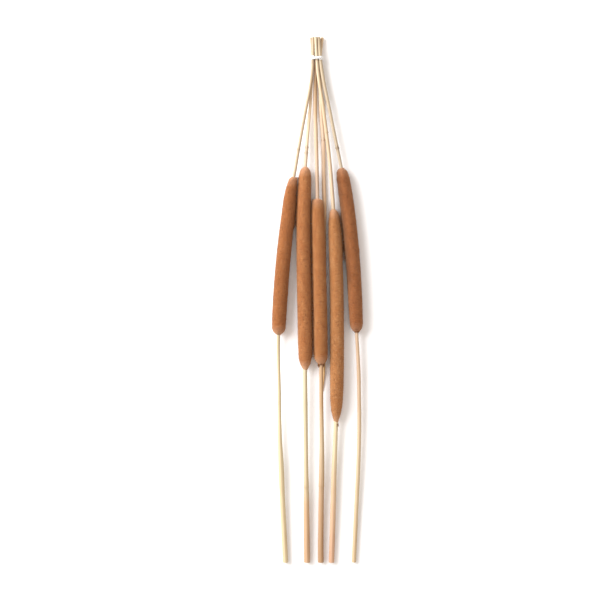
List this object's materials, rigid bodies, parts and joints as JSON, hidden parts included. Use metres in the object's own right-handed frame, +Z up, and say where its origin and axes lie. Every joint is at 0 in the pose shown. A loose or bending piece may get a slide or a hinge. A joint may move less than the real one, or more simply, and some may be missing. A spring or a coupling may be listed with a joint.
{
  "type": "tied bunch of cattails",
  "caption": "Tied bunch of dried cattails lying flat: velvety brown flower spikes on long thin stems, held near the upper ends by a wound white string.",
  "frame": {"origin": "on the surface that the bunch lies on, under the middle of its bounding box", "axes": "+Y along the stems towards the tied upper ends, +X to the right seen from above, +Z up"},
  "size_m": [0.0912, 0.5263, 0.0165],
  "materials": {
    "spike_velvet": "matte velvety packed flower tips",
    "dry_stem": "satin dry plant skin with fine lengthwise ribs",
    "cotton_string": "matte twisted cotton"
  },
  "bodies": {
    "root": {"stem_1": "dry_stem", "stem_2": "dry_stem", "stem_3": "dry_stem", "stem_4": "dry_stem", "stem_5": "dry_stem", "bare_stem": "dry_stem", "spike_1": "spike_velvet", "spike_2": "spike_velvet", "spike_3": "spike_velvet", "spike_4": "spike_velvet", "spike_5": "spike_velvet", "tie": "cotton_string"}
  },
  "joints": []
}
